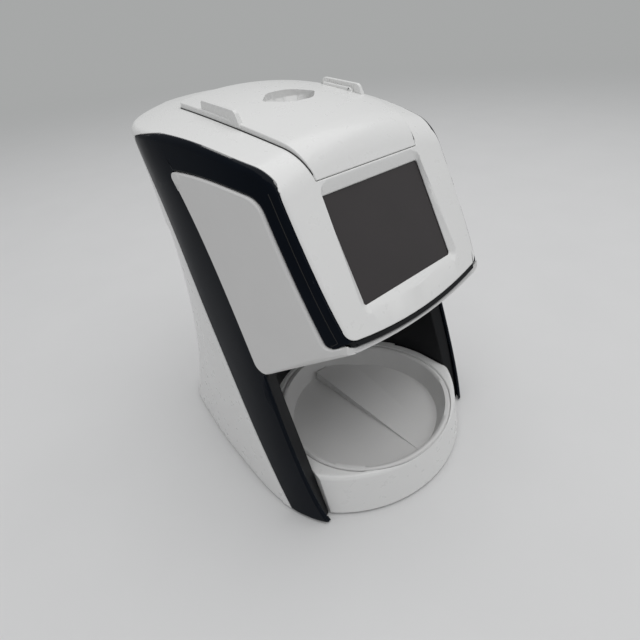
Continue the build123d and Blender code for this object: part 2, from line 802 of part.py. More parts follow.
# Black legs, the round back wall of the cave and the frame behind the side panels
liner_front = polygon([
    (side_point(inlay_toe_share)[0], feet_height), side_point(inlay_knee_share),
    (knee[0], cave_ceiling - seam_gap), (far, cave_ceiling - seam_gap), (far, feet_height),
])
liner_inset = inlay_thickness + seam_gap
liner_core = envelope(liner_inset)
slant = leg_slant / (half_width - cave_radius)
liner_side = extrude(Plane.YZ * (Pos(slant * half_width, 0) * liner_front), far, dir=(1, -slant, 0))
leg_liner = liner_core & (liner_side + mirror(liner_side, about=Plane.YZ))
leg_liner -= extrude(cave_outline(0.0), far)
leg_liner -= block(-far, far, leg_back_y, far, 0, far) - extrude(cave_outline(cave_wall), far)
leg_liner -= block(-far, far, leg_back_y, far, 0, base_top + seam_gap)
rear_wide = across(offset(rear_region, seam_gap), -far, far) - rear_core
leg_liner -= rear_wide
hollow_clear = across(offset(hollow_face, -seam_gap), -far, far)
side_frame = liner_core - envelope(liner_inset + frame_wall)
side_frame &= head_solid(-top_wall - seam_gap, bezel_wall + seam_gap)
side_frame &= across(offset(inlay_face, frame_margin), -far, far)
side_frame &= block(-far, far, -far, far, cave_ceiling - frame_margin, far + shell_height)
side_frame -= insert_prism_wide - hollow_clear
belly_front_z = knee_low[1] - far * belly_slope
open_front = polygon([
    (knee_low[0] - far, belly_front_z), knee_low, knee, (knee[0], 0), (knee_low[0] - far, 0)])
side_frame -= across(open_front, -far, far)
side_frame -= extrude(bezel_plane.offset(-bezel_wall - seam_gap) * Rectangle(2 * far, 2 * far), far)
side_frame -= rear_wide
leg_liner += side_frame

# Bottom plate with counterbored screws, and feet
plate_top = feet_height + bottom_plate_thickness
plate_plan = extrude(cave_outline(-base_step - base_wall - seam_gap), far)
plate_radius = base_front_radius - base_wall - 4 * seam_gap
plate_disc = upright(plate_radius, 0, base_centre_y, feet_height, plate_top)
bottom_plate = plate_disc & plate_plan
clear_inset = rear_step + shell_wall + seam_gap
column_plan = block(-far, far, leg_back_y + seam_gap, far, feet_height, plate_top)
bottom_plate += envelope(clear_inset) & column_plan
base_puck -= block(-far, far, leg_back_y, far, 0, plate_top)
screw_points = [(side * x * half_width, y * half_depth) for y, x in screw_shares for side in (-1, 1)]
screws = []
for k, (x, y) in enumerate(screw_points):
    head_top = feet_height + screw_head_height
    screw = upright(screw_head_radius, x, y, feet_height, head_top)
    screw += upright(screw_shank_radius, x, y, feet_height, plate_top + screw_grip)
    screw -= Pos(x, y, feet_height) * extrude(RegularPolygon(screw_key_radius, 6), screw_key_depth)
    screws.append(screw)
    boss = upright(screw_boss_radius, x, y, plate_top, plate_top + screw_grip + screw_shank_radius)
    boss -= upright(screw_shank_radius, x, y, 0, plate_top + screw_grip)
    bottom_plate -= upright(screw_head_radius + seam_gap, x, y, 0, head_top)
    bottom_plate -= upright(screw_shank_radius + seam_gap, x, y, 0, far)
    if k < 2:
        base_puck += boss
    else:
        rear_shell += boss & rear_body

foot_pads = []
for y_share, x_share in foot_reach_shares:
    for side in (-1, 1):
        x = side * x_share * half_width
        y = y_share * half_depth
        foot_pads.append(upright(foot_radius, x, y, 0, feet_height))


# Solid plate parallel to the bezel, from one depth to another
def bezel_slab(half, low, high, near_depth, far_depth):
    face = Pos(0, (low + high) / 2) * Rectangle(2 * half, high - low)
    return extrude(bezel_plane.offset(-far_depth) * face, far_depth - near_depth)


# Screen: glass, panel, board and bracket behind the bezel
glass_half = window_half + glass_margin
glass_back = glass_seat_depth + glass_thickness
screen_glass = bezel_slab(
    glass_half, window_low - glass_margin, window_high + glass_margin, glass_seat_depth, glass_back)
lcd_back = glass_back + lcd_thickness
lcd_panel = bezel_slab(
    window_half + lcd_margin, window_low - lcd_margin, window_high + lcd_margin, glass_back, lcd_back)
board_back = lcd_back + display_board_thickness
bracket_front = board_back
bracket_back = bracket_front + bracket_thickness
display_board = bezel_slab(window_half, window_low, window_high, lcd_back, board_back)
for row in range(connector_count):
    level = window_low + (row + 1) * (window_high - window_low) / (connector_count + 1)
    display_board += bezel_slab(connector_half, level, level + connector_rise, board_back, bracket_back)
bracket_half = post_spread + post_radius
display_bracket = bezel_slab(bracket_half, window_low, window_high, bracket_front, bracket_back)
window_hole = bezel_slab(
    window_half - glass_margin, window_low + glass_margin, window_high - glass_margin,
    bracket_front - overrun, bracket_back + overrun)
display_bracket -= window_hole
for side in (-1, 1):
    for up in (window_low + post_radius, window_high - post_radius):
        place = bezel_plane.offset(-bracket_front) * (Pos(side * post_spread, up) * Circle(post_radius))
        post_length = bracket_front - recess_depth - seam_gap
        main_shell += extrude(place, post_length)

# Heights of the drive, worked out downwards from its top
chassis_top = shell_height - chassis_drop
block_top = shell_height - block_drop
upper_low = block_top - block_height
carriage_travel = travel_share * shell_height
carriage_low = upper_low - coupling_gap - carriage_height
nut_low = carriage_low - nut_flange_height
lower_top = nut_low - carriage_travel - travel_end_gap
block_low = lower_top - block_height
coupling_low = block_low - coupling_gap - coupling_height
motor_top = coupling_low - coupling_gap - bracket_height
screw_low = coupling_low + coupling_height / 2
bracket_top = motor_top + bracket_height

# Column frame: chassis sheet with a foot, and the blocks that hold the drive
chassis_back = chassis_y + chassis_thickness
chassis = block(-chassis_half, chassis_half, chassis_y, chassis_back, plate_top, chassis_top)
chassis += block(
    -chassis_half, chassis_half, chassis_y, chassis_y + chassis_foot_depth,
    plate_top, plate_top + chassis_thickness)
chassis = fillet(chassis.edges().filter_by(Axis.Y).group_by(Axis.Z)[-1], motor_corner)
rod_points = [(side * rod_spread, drive_y) for side in (-1, 1)]


def drive_block(low, bearing_low):
    piece = block(-block_half, block_half, carriage_front, chassis_y, low, low + block_height)
    piece = fillet(piece.edges().filter_by(Axis.Z).group_by(Axis.Y)[0], motor_corner)
    for x, y in rod_points:
        piece -= upright(rod_radius, x, y, 0, far + shell_height)
    piece -= upright(bearing_radius, 0, drive_y, bearing_low, bearing_low + bearing_height)
    return piece - upright(screw_radius + slide_gap, 0, drive_y, 0, far + shell_height)


lower_block = drive_block(block_low, lower_top - bearing_height)
upper_block = drive_block(upper_low, upper_low)
bearings = []
for low in (lower_top - bearing_height, upper_low):
    ring = upright(bearing_radius, 0, drive_y, low, low + bearing_height)
    ring -= upright(screw_radius + running_clearance, 0, drive_y, 0, far + shell_height)
    bearings.append(ring)
guide_rods = [upright(rod_radius, x, y, block_low, block_top) for x, y in rod_points]
lead_screw = upright(screw_radius - thread_depth, 0, drive_y, screw_low, block_top)
lead_screw += upright(screw_radius, 0, drive_y, screw_low, lower_top + coupling_gap)
lead_screw += upright(screw_radius, 0, drive_y, upper_low - coupling_gap, block_top)
coupling = upright(coupling_radius, 0, drive_y, coupling_low, coupling_low + coupling_height)
coupling -= upright(screw_radius, 0, drive_y, screw_low, coupling_low + coupling_height)
coupling -= upright(motor_shaft_radius, 0, drive_y, coupling_low, screw_low)

# Stepper motor under its bracket
motor_low = motor_top - motor_height
motor_plan = RectangleRounded(motor_size, motor_size, motor_corner)
motor_round = RectangleRounded(motor_size - 2 * motor_step, motor_size - 2 * motor_step, motor_corner)
motor = Pos(0, drive_y, motor_low) * extrude(motor_round, motor_height)
motor += Pos(0, drive_y, motor_top - motor_cap) * extrude(motor_plan, motor_cap)
motor += Pos(0, drive_y, motor_low) * extrude(motor_plan, motor_cap)
motor -= upright(motor_shaft_radius + running_clearance, 0, drive_y, motor_top - motor_cap, far)
motor_shaft = upright(motor_shaft_radius, 0, drive_y, motor_top - motor_cap + slide_gap, screw_low)
motor_half = motor_size / 2
motor_bracket = block(-motor_half, motor_half, drive_y - motor_half, chassis_y, motor_top, bracket_top)
motor_bracket -= upright(motor_shaft_radius + coupling_gap, 0, drive_y, 0, far)

# Carriage on both rods, with its nut, bushings and magnet arm
carriage_top = carriage_low + carriage_height
carriage = block(-carriage_half, carriage_half, carriage_front, carriage_back, carriage_low, carriage_top)
carriage = fillet(carriage.edges().filter_by(Axis.Z), motor_corner)
arm_low = carriage_low + (carriage_height - magnet_height) / 2
arm_end = plate_y + plate_slot / 2 + guide_wall + arm_reach
carriage += block(-arm_half, arm_half, arm_end, carriage_front, arm_low, arm_low + magnet_height)
bushings = []
for x, y in rod_points:
    carriage -= upright(bushing_radius, x, y, 0, far + shell_height)
    sleeve = upright(bushing_radius, x, y, carriage_low, carriage_top)
    sleeve -= upright(rod_radius + running_clearance, x, y, 0, far + shell_height)
    bushings.append(sleeve)
carriage -= upright(nut_radius, 0, drive_y, 0, far + shell_height)
drive_nut = upright(nut_radius, 0, drive_y, nut_low, carriage_top)
drive_nut += upright(nut_flange_radius, 0, drive_y, nut_low, carriage_low)
drive_nut -= upright(screw_radius + running_clearance, 0, drive_y, 0, far + shell_height)
magnet_front = plate_y + plate_slot / 2 + slide_gap
plate_magnet = block(-arm_half, arm_half, magnet_front, arm_end, arm_low, arm_low + magnet_height)

# Plate guide: a flat chute with a slot behind it for the arm and a slit in front for the beam
guide_half = mouth_width / 2 + guide_wall
guide_low = tongue_top
guide_top = funnel_low - guide_top_gap
guide_front = plate_y - plate_slot / 2 - guide_wall
guide_back = plate_y + plate_slot / 2 + guide_wall
plate_guide = block(-guide_half, guide_half, guide_front, guide_back, guide_low, guide_top)
ear_half = guide_half + guide_ear
plate_guide += block(-ear_half, ear_half, guide_front, guide_back, guide_low, guide_low + guide_wall)
for side in (-1, 1):
    arm_x = side * (guide_half - guide_ear / 2)
    arm_block = (arm_x - guide_ear / 2, arm_x + guide_ear / 2, guide_back, carriage_front)
    plate_guide += block(*arm_block, upper_low, guide_top)
mouth_half = mouth_width / 2
slot_front = plate_y - plate_slot / 2
plate_guide -= block(-mouth_half, mouth_half, slot_front, slot_front + plate_slot, 0, far + shell_height)
arm_slot = arm_half + slide_gap
slot_low = arm_low - carriage_travel - guide_wall
plate_guide -= block(-arm_slot, arm_slot, plate_y, guide_back + overrun, slot_low, upper_low)
bench_top = bench_top_share * shell_height
bench_low = bench_top - bench_thickness
beam_height = bench_top + beam_rise
lamp_top = bench_low - lamp_gap
lamp_low = lamp_top - lamp_height
slit_low = beam_height - slit_height / 2
plate_guide -= block(-mouth_half, mouth_half, 0, plate_y, slit_low, slit_low + slit_height)
plate_guide -= block(-mouth_half, mouth_half, 0, plate_y, lamp_low, lamp_top)

# Scanning optics on a bench above the cave
bench_posts = []
for side in (-1, 1):
    for y in (bench_front_y + bench_front_inset, bench_back_y - bench_inset):
        post_x = side * bench_half * bench_post_share
        bench_posts.append(upright(bench_post_radius, post_x, y, guide_low, bench_low))
optics_bench = block(-bench_half, bench_half, bench_front_y, bench_back_y, bench_low, bench_top)
optics_bench = fillet(optics_bench.edges().filter_by(Axis.Z), motor_corner)
optics_bench -= upright(galvo_radius + slide_gap, 0, mirror_y, 0, far + shell_height)
galvo_top = bench_top + galvo_rise
galvo_low = galvo_top - galvo_height
shaft_seat = galvo_top - mirror_shaft_length
galvo_motor = upright(galvo_radius, 0, mirror_y, galvo_low, galvo_top)
galvo_motor += upright(galvo_radius + galvo_lip, 0, mirror_y, bench_top, bench_top + galvo_flange)
galvo_motor -= upright(mirror_shaft_radius + running_clearance, 0, mirror_y, shaft_seat, far)
mirror_low = beam_height - mirror_height / 2
mirror_shaft = upright(mirror_shaft_radius, 0, mirror_y, shaft_seat + slide_gap, mirror_low)
mirror_shaft += upright(mirror_hub_radius, 0, mirror_y, mirror_low - mirror_thickness, mirror_low)
mirror_place = Pos(0, mirror_y, beam_height) * Rot(0, 0, half_turn / 4)
scan_mirror = mirror_place * Box(mirror_thickness, mirror_width, mirror_height)
laser_end = laser_gap + laser_length
laser_module = along_x(laser_radius, laser_gap, laser_end, mirror_y, beam_height)
laser_module -= along_x(laser_radius / 3, 0, laser_gap + overrun, mirror_y, beam_height)
holder_x = laser_gap + (laser_length - laser_block) / 2
laser_holder = block(
    holder_x, holder_x + laser_block, mirror_y - laser_block / 2, mirror_y + laser_block / 2,
    bench_top, beam_height + laser_radius + guide_wall,
)
laser_holder -= along_x(laser_radius, 0, far, mirror_y, beam_height)
lens_plan = make_face([
    Line((-lens_length / 2, lens_y - lens_depth / 2), (lens_length / 2, lens_y - lens_depth / 2)),
    Line((lens_length / 2, lens_y - lens_depth / 2), (lens_length / 2, lens_y)),
    ThreePointArc((lens_length / 2, lens_y), (0, lens_y + lens_bulge), (-lens_length / 2, lens_y)),
    Line((-lens_length / 2, lens_y), (-lens_length / 2, lens_y - lens_depth / 2)),
])
lens_low = beam_height - lens_height / 2
scan_lens = Pos(0, 0, lens_low) * extrude(lens_plan, lens_height)
lens_holder = block(
    -lens_length / 2 - lens_foot, lens_length / 2 + lens_foot,
    lens_y - lens_depth, lens_y + lens_depth, bench_top, lens_low,
)
guide_light_y = guide_front - slit_height / 2
light_low = beam_height + slit_height + lens_foot
light_guide = block(
    -light_guide_half, light_guide_half + guide_wall,
    guide_light_y - light_guide_depth, guide_light_y, light_low, light_low + light_guide_height,
)
detector_y = guide_light_y - detector_radius + guide_wall / 2
detector_z = light_low + light_guide_height / 2
detector_x = light_guide_half + guide_wall
detector = along_x(detector_radius, detector_x, detector_x + detector_length, detector_y, detector_z)
detector = chamfer(detector.edges().filter_by(GeomType.CIRCLE).group_by(Axis.X)[-1], guide_wall)
saddle_low_y = detector_y - detector_radius
detector_saddle = block(
    detector_x + guide_wall, detector_x + detector_length - guide_wall,
    saddle_low_y, bench_back_y, bench_top, detector_z,
)
detector_saddle -= along_x(detector_radius, 0, far, detector_y, detector_z)
light_post = block(
    -light_guide_half - lens_foot, -light_guide_half,
    guide_light_y - light_guide_depth - lens_foot, bench_back_y,
    bench_top, light_low + light_guide_height,
)
light_post = fillet(light_post.edges().filter_by(Axis.X).group_by(Axis.Z)[-1], lens_foot / 3)
lamp_front = bench_back_y - lamp_board
erase_board = block(-mouth_half, mouth_half, lamp_front, bench_back_y, lamp_low, bench_low)
for k in range(led_count):
    led_x = (k + 1 / 2) * mouth_width / led_count - mouth_half
    for level in (lamp_low + lamp_height / 4, lamp_top - lamp_height / 4):
        erase_board += block(
            led_x - led_size / 2, led_x + led_size / 2, bench_back_y, bench_back_y + led_size / 2,
            level - led_size / 2, level + led_size / 2,
        )

# Main board behind the chassis
board_front = chassis_back + standoff_length
board_rear = board_front + board_thickness
main_board_low, main_board_high = [share * shell_height for share in main_board_span_shares]
main_board = block(
    -main_board_half, main_board_half, board_front, board_rear, main_board_low, main_board_high)
standoffs = []
for side in (-1, 1):
    for z in (main_board_low + standoff_inset, main_board_high - standoff_inset):
        standoff_x = side * (main_board_half - standoff_inset)
        standoffs.append(along_y(standoff_radius, standoff_x, chassis_back, board_front, z))
for x_share, z_share, size_share in chip_shares:
    span = main_board_high - main_board_low
    cx = x_share * main_board_half
    cz = main_board_low + z_share * span
    half = size_share * chip_size / 2
    main_board += block(cx - half, cx + half, board_rear, board_rear + chip_height, cz - half, cz + half)
sink_z = (main_board_low + main_board_high) / 2
heatsink = block(
    -heatsink_size / 2, heatsink_size / 2, board_rear, board_rear + chip_height,
    sink_z - heatsink_size / 2, sink_z + heatsink_size / 2,
)
for k in range(heatsink_fins):
    fin_x = (k - (heatsink_fins - 1) / 2) * (heatsink_size - chip_height) / (heatsink_fins - 1)
    heatsink += block(
        fin_x - chip_height / 4, fin_x + chip_height / 4, board_rear, board_rear + heatsink_height,
        sink_z - heatsink_size / 2, sink_z + heatsink_size / 2,
    )

# Sockets and the sprung power button in the rear pocket
wall_in = pocket_floor_y - shell_wall
socket_base = pocket_mid - network_height / 2
socket_board_half = pocket_half - pocket_rim
socket_board = block(
    -socket_board_half, socket_board_half, wall_in - socket_board_depth, wall_in - slide_gap,
    socket_base - board_thickness, socket_base,
)
board_posts = []
for x in (-pocket_half / 2, pocket_half / 2):
    post_y = wall_in - socket_board_depth / 2
    board_posts.append(upright(bench_post_radius, x, post_y, plate_top, socket_base - board_thickness))
network_socket = block(
    network_x - network_width / 2, network_x + network_width / 2,
    pocket_floor_y - network_depth, pocket_floor_y - slide_gap,
    socket_base, socket_base + network_height,
)
network_socket -= block(
    network_x - network_width / 2 + network_wall, network_x + network_width / 2 - network_wall,
    pocket_floor_y - network_depth + network_wall, far,
    socket_base + network_wall, socket_base + network_height - network_wall,
)
power_inlet = block(
    inlet_x - inlet_size / 2, inlet_x + inlet_size / 2, wall_in - inlet_depth, wall_in - slide_gap,
    socket_base, pocket_mid + inlet_size / 2,
)
power_inlet += along_y(inlet_bore, inlet_x, wall_in - slide_gap, pocket_floor_y, pocket_mid)
inlet_back = wall_in - inlet_depth
power_inlet -= along_y(inlet_bore - seam_gap, inlet_x, inlet_back + network_wall, far, pocket_mid)
power_inlet += along_y(inlet_pin, inlet_x, inlet_back, wall_in, pocket_mid)
collar_back = wall_in - slide_gap - button_collar
power_button = along_y(button_radius, button_x, collar_back, pocket_floor_y + button_rise, pocket_mid)
button_rim = power_button.edges().filter_by(GeomType.CIRCLE).group_by(Axis.Y)[-1]
power_button = chamfer(button_rim, button_chamfer)
collar_radius = button_radius + button_collar
power_button += along_y(collar_radius, button_x, collar_back, wall_in - slide_gap, pocket_mid)
stem_end = collar_back - button_stem_length
power_button += along_y(button_stem_radius, button_x, stem_end, collar_back, pocket_mid)
switch_face = stem_end - button_travel - slide_gap
button_switch = block(
    button_x - switch_size / 2, button_x + switch_size / 2, switch_face - switch_size / 2, switch_face,
    socket_base, pocket_mid + switch_size / 2,
)

nodes = {
    "main_shell": [main_shell],
    "top_cover": [top_cover],
    "side_inlay_left": [inlays[0]],
    "side_inlay_right": [inlays[-1]],
    "belly_shell": [belly_shell],
    "bezel_trim": [bezel_trim],
    "leg_liner": [leg_liner],
    "base_puck": [base_puck],
    "receiving_tray": [receiving_tray],
    "rear_shell": [rear_shell],
    "bottom_plate": [bottom_plate],
    "rubber_feet": foot_pads,
    "bottom_screws": screws,
    "screen_glass": [screen_glass],
    "lcd_panel": [lcd_panel],
    "display_board": [display_board],
    "display_bracket": [display_bracket],
    "chassis": [chassis],
    "lower_block": [lower_block],
    "upper_block": [upper_block],
    "screw_bearings": bearings,
    "guide_rods": guide_rods,
    "lead_screw": [lead_screw],
    "coupling": [coupling],
    "motor_shaft": [motor_shaft],
    "stepper_motor": [motor],
    "motor_bracket": [motor_bracket],
    "carriage": [carriage],
    "carriage_bushings": bushings,
    "drive_nut": [drive_nut],
    "plate_magnet": [plate_magnet],
    "plate_guide": [plate_guide],
    "optics_bench": [optics_bench],
    "bench_posts": bench_posts,
    "galvo_motor": [galvo_motor],
    "mirror_shaft": [mirror_shaft],
    "scan_mirror": [scan_mirror],
    "laser_module": [laser_module],
    "laser_holder": [laser_holder],
    "scan_lens": [scan_lens],
    "lens_holder": [lens_holder],
    "light_guide": [light_guide],
    "light_post": [light_post],
    "detector": [detector],
    "detector_saddle": [detector_saddle],
    "erase_board": [erase_board],
    "main_board": [main_board],
    "board_standoffs": standoffs,
    "heatsink": [heatsink],
    "socket_board": [socket_board],
    "socket_posts": board_posts,
    "network_socket": [network_socket],
    "power_inlet": [power_inlet],
    "power_button": [power_button],
    "button_switch": [button_switch],
}

os.makedirs("parts", exist_ok=True)
for name, pieces in nodes.items():
    solids = []
    for piece in pieces:
        solids.extend(piece.solids())
    export_step(Compound(children=solids) if len(solids) > 1 else solids[0], f"parts/{name}.step")
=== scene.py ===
import json
import math
import bmesh
import bpy
from mathutils import Matrix, Vector
from mathutils.bvhtree import BVHTree

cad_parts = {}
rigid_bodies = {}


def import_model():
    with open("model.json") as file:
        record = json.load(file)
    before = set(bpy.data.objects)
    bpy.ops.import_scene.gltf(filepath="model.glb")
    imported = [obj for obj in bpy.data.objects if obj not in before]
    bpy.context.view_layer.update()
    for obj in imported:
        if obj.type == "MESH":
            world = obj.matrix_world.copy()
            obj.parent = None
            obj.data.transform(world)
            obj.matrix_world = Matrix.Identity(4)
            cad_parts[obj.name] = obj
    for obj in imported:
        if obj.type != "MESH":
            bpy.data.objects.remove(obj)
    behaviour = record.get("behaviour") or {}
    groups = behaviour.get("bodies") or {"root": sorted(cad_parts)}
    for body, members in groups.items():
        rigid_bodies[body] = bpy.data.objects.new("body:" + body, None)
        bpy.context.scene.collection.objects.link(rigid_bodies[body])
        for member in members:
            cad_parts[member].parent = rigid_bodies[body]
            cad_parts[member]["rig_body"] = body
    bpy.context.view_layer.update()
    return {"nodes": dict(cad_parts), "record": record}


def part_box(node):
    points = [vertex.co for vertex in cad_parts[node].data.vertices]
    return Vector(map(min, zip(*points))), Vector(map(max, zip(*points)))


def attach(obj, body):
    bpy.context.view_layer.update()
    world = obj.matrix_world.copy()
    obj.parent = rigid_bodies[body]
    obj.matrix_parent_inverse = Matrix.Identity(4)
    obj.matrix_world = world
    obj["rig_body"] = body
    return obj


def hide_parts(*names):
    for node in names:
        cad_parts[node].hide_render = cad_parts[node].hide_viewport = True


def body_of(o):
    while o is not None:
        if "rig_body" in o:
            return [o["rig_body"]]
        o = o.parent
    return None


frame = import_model()
scene = bpy.context.scene
nodes = frame["nodes"]
MM = 0.001

# Camera, measured in the frame of the part: place and reach in millimetres, and its own axes
CAMERA_PLACE = (-151.3, -179.83, 239.21)
CAMERA_RIGHT = (0.7304, -0.6801, -0.0626)
CAMERA_BACK = (-0.5275, -0.6200, 0.5807)
CAMERA_NEAR = 10.0
CAMERA_FAR = 50000.0
FOCAL_PIXELS = 434.78
FRAME_PIXELS = 640
SENSOR_WIDTH = 36.0

# Studio, in metres and watts: a pale floor, a plain background far away and two soft lights
FLOOR_RADIUS = 6.0
FLOOR_SIDES = 96
FLOOR_TONE = (0.72, 0.72, 0.718)
BACKGROUND_TONE = (0.385, 0.392, 0.39)
BACKGROUND_START = 0.35
BACKGROUND_FULL = 2.4
ROOM_TONE = (0.97, 0.98, 1.0)
ROOM_STRENGTH = 0.41
LIGHTS = {
    "key": {"place": (0.12, -0.10, 1.6), "target": (0.0, 0.0, 0.1), "size": (2.0, 2.0), "power": 17.0},
    "front_fill": {"place": (0.7, -1.2, 0.8), "target": (0.0, 0.0, 0.12), "size": (1.2, 0.9), "power": 1.0},
}

# Colour ramps and the painted highlight on the edges of the finishes, with the radius in millimetres
RAMP_START = 0.35
RAMP_END = 0.65
HIGHLIGHT_RADIUS = 0.6
HIGHLIGHT_SAMPLES = 4
HIGHLIGHT_GAIN = 0.5


def place_camera():
    data = bpy.data.cameras.new("camera")
    data.sensor_width = SENSOR_WIDTH
    data.lens = FOCAL_PIXELS / FRAME_PIXELS * SENSOR_WIDTH
    data.clip_start = CAMERA_NEAR * MM
    data.clip_end = CAMERA_FAR * MM
    camera = bpy.data.objects.new("camera", data)
    right = Vector(CAMERA_RIGHT).normalized()
    back = Vector(CAMERA_BACK).normalized()
    up = back.cross(right).normalized()
    right = up.cross(back)
    turn = Matrix((right, up, back)).transposed().to_4x4()
    camera.matrix_world = Matrix.Translation(Vector(CAMERA_PLACE) * MM) @ turn
    scene.collection.objects.link(camera)
    scene.camera = camera


# Small helpers for node materials
class Nodes:
    def __init__(self, name):
        self.material = bpy.data.materials.new(name)
        self.material.use_nodes = True
        self.tree = self.material.node_tree
        self.shader = self.tree.nodes["Principled BSDF"]

    def add(self, kind, **values):
        node = self.tree.nodes.new(kind)
        for key, value in values.items():
            if key in node.inputs:
                node.inputs[key].default_value = value
            else:
                setattr(node, key, value)
        return node

    def link(self, out, into):
        self.tree.links.new(out, into)

    def set(self, **values):
        for key, value in values.items():
            self.shader.inputs[key.replace("_", " ")].default_value = value

    def place(self):
        return self.add("ShaderNodeTexCoord").outputs["Object"]

    def noise(self, scale, detail=3.0, roughness=0.5, stretch=None):
        out = self.place()
        if stretch:
            mapping = self.add("ShaderNodeMapping")
            mapping.inputs["Scale"].default_value = stretch
            self.link(out, mapping.inputs["Vector"])
            out = mapping.outputs["Vector"]
        noise = self.add("ShaderNodeTexNoise", Scale=scale, Detail=detail, Roughness=roughness)
        self.link(out, noise.inputs["Vector"])
        return noise.outputs["Fac"]

    def ramp(self, value, low, high):
        ramp = self.add("ShaderNodeValToRGB")
        ends = ((RAMP_START, low), (RAMP_END, high))
        for element, (position, tone) in zip(ramp.color_ramp.elements, ends):
            element.position = position
            element.color = (*tone, 1.0)
        self.link(value, ramp.inputs["Fac"])
        return ramp.outputs["Color"]

    def span(self, value, low, high):
        spread = self.add("ShaderNodeMapRange")
        spread.inputs["To Min"].default_value = low
        spread.inputs["To Max"].default_value = high
        self.link(value, spread.inputs["Value"])
        return spread.outputs["Result"]

    def base_colour(self, value, low, high):
        self.link(self.ramp(value, low, high), self.shader.inputs["Base Color"])

    def roughness(self, value, low, high):
        self.link(self.span(value, low, high), self.shader.inputs["Roughness"])

    def bump(self, height, strength, distance):
        bump = self.add("ShaderNodeBump", Strength=strength, Distance=distance)
        self.link(height, bump.inputs["Height"])
        self.link(bump.outputs["Normal"], self.shader.inputs["Normal"])

    # Narrow mask along sharp edges, where a rounded normal leaves that of the surface; it places the painted
    # edge highlight
    def edge_mask(self):
        bevel = self.add("ShaderNodeBevel", Radius=HIGHLIGHT_RADIUS * MM, samples=HIGHLIGHT_SAMPLES)
        flat = self.add("ShaderNodeNewGeometry")
        dot = self.add("ShaderNodeVectorMath", operation="DOT_PRODUCT")
        self.link(bevel.outputs["Normal"], dot.inputs[0])
        self.link(flat.outputs["Normal"], dot.inputs[1])
        spread = self.add("ShaderNodeMapRange")
        spread.inputs["From Min"].default_value = 1.0
        spread.inputs["From Max"].default_value = 1.0 - HIGHLIGHT_GAIN
        self.link(dot.outputs["Value"], spread.inputs["Value"])
        return spread.outputs["Result"]


def tint(colour, factor):
    return tuple(min(1.0, c * factor) for c in colour)


# Moulded plastic: faint clouds in its colour, a fine grain and, when an edge tone is given, paler edges
# painted as a highlight
def plastic(name, colour, roughness, spread=0.03, coat=0.0, peel=0.04, grain=900.0, gloss=0.5, edge_highlight=None):
    n = Nodes(name)
    clouds = n.noise(scale=38.0, detail=4.0)
    shade = n.ramp(clouds, tint(colour, 1.0 - spread), tint(colour, 1.0 + spread * 0.4))
    # Paler tone on the sharp edges: a painted highlight
    if edge_highlight:
        mix = n.add("ShaderNodeMix", data_type="RGBA")
        mix.inputs["B"].default_value = (*edge_highlight, 1.0)
        n.link(n.edge_mask(), mix.inputs["Factor"])
        n.link(shade, mix.inputs["A"])
        shade = mix.outputs["Result"]
    n.link(shade, n.shader.inputs["Base Color"])
    n.roughness(n.noise(scale=160.0), low=roughness * 0.85, high=roughness * 1.2)
    n.bump(n.noise(scale=grain, detail=2.0), strength=peel, distance=0.00006)
    n.set(Coat_Weight=coat, Coat_Roughness=0.12, Coat_IOR=1.4, IOR=1.49, Specular_IOR_Level=gloss)
    return n.material


# Metal, with its grain drawn out along an axis where it is brushed
def metal(name, colour, roughness, brushed=None, spread=0.08):
    n = Nodes(name)
    clouds = n.noise(scale=60.0, detail=4.0)
    n.base_colour(clouds, low=tint(colour, 1.0 - spread), high=tint(colour, 1.0 + spread / 2))
    grain = n.noise(scale=420.0, detail=4.0, roughness=0.6, stretch=brushed)
    n.roughness(grain, low=roughness * 0.7, high=roughness * 1.4)
    n.bump(grain, strength=0.12, distance=0.00004)
    n.set(Metallic=1.0)
    return n.material


def glassy(name, colour, roughness, weight, ior=1.5):
    n = Nodes(name)
    n.base_colour(n.noise(scale=25.0), low=tint(colour, 0.96), high=colour)
    n.roughness(n.noise(scale=300.0), low=roughness * 0.6, high=roughness * 1.6)
    n.set(Transmission_Weight=weight, IOR=ior)
    return n.material


# Board with a pattern of tracks under green lacquer
def circuit_board(name):
    n = Nodes(name)
    tracks = n.add("ShaderNodeTexBrick", Scale=210.0)
    tracks.inputs["Color1"].default_value = (0.012, 0.11, 0.045, 1.0)
    tracks.inputs["Color2"].default_value = (0.016, 0.13, 0.055, 1.0)
    tracks.inputs["Mortar"].default_value = (0.05, 0.24, 0.10, 1.0)
    tracks.inputs["Mortar Size"].default_value = 0.03
    n.link(n.place(), tracks.inputs["Vector"])
    n.link(tracks.outputs["Color"], n.shader.inputs["Base Color"])
    n.roughness(n.noise(scale=120.0), low=0.28, high=0.42)
    n.bump(tracks.outputs["Fac"], strength=0.2, distance=0.00005)
    return n.material


def rubber(name, colour):
    n = Nodes(name)
    grain = n.noise(scale=700.0, detail=5.0, roughness=0.7)
    n.base_colour(grain, low=tint(colour, 0.7), high=tint(colour, 1.5))
    n.roughness(grain, low=0.62, high=0.88)
    n.bump(grain, strength=0.4, distance=0.00015)
    return n.material


def mirror_glass(name):
    n = Nodes(name)
    n.base_colour(n.noise(scale=50.0), low=(0.86, 0.88, 0.90), high=(0.93, 0.95, 0.96))
    n.roughness(n.noise(scale=300.0), low=0.015, high=0.05)
    n.set(Metallic=1.0)
    return n.material


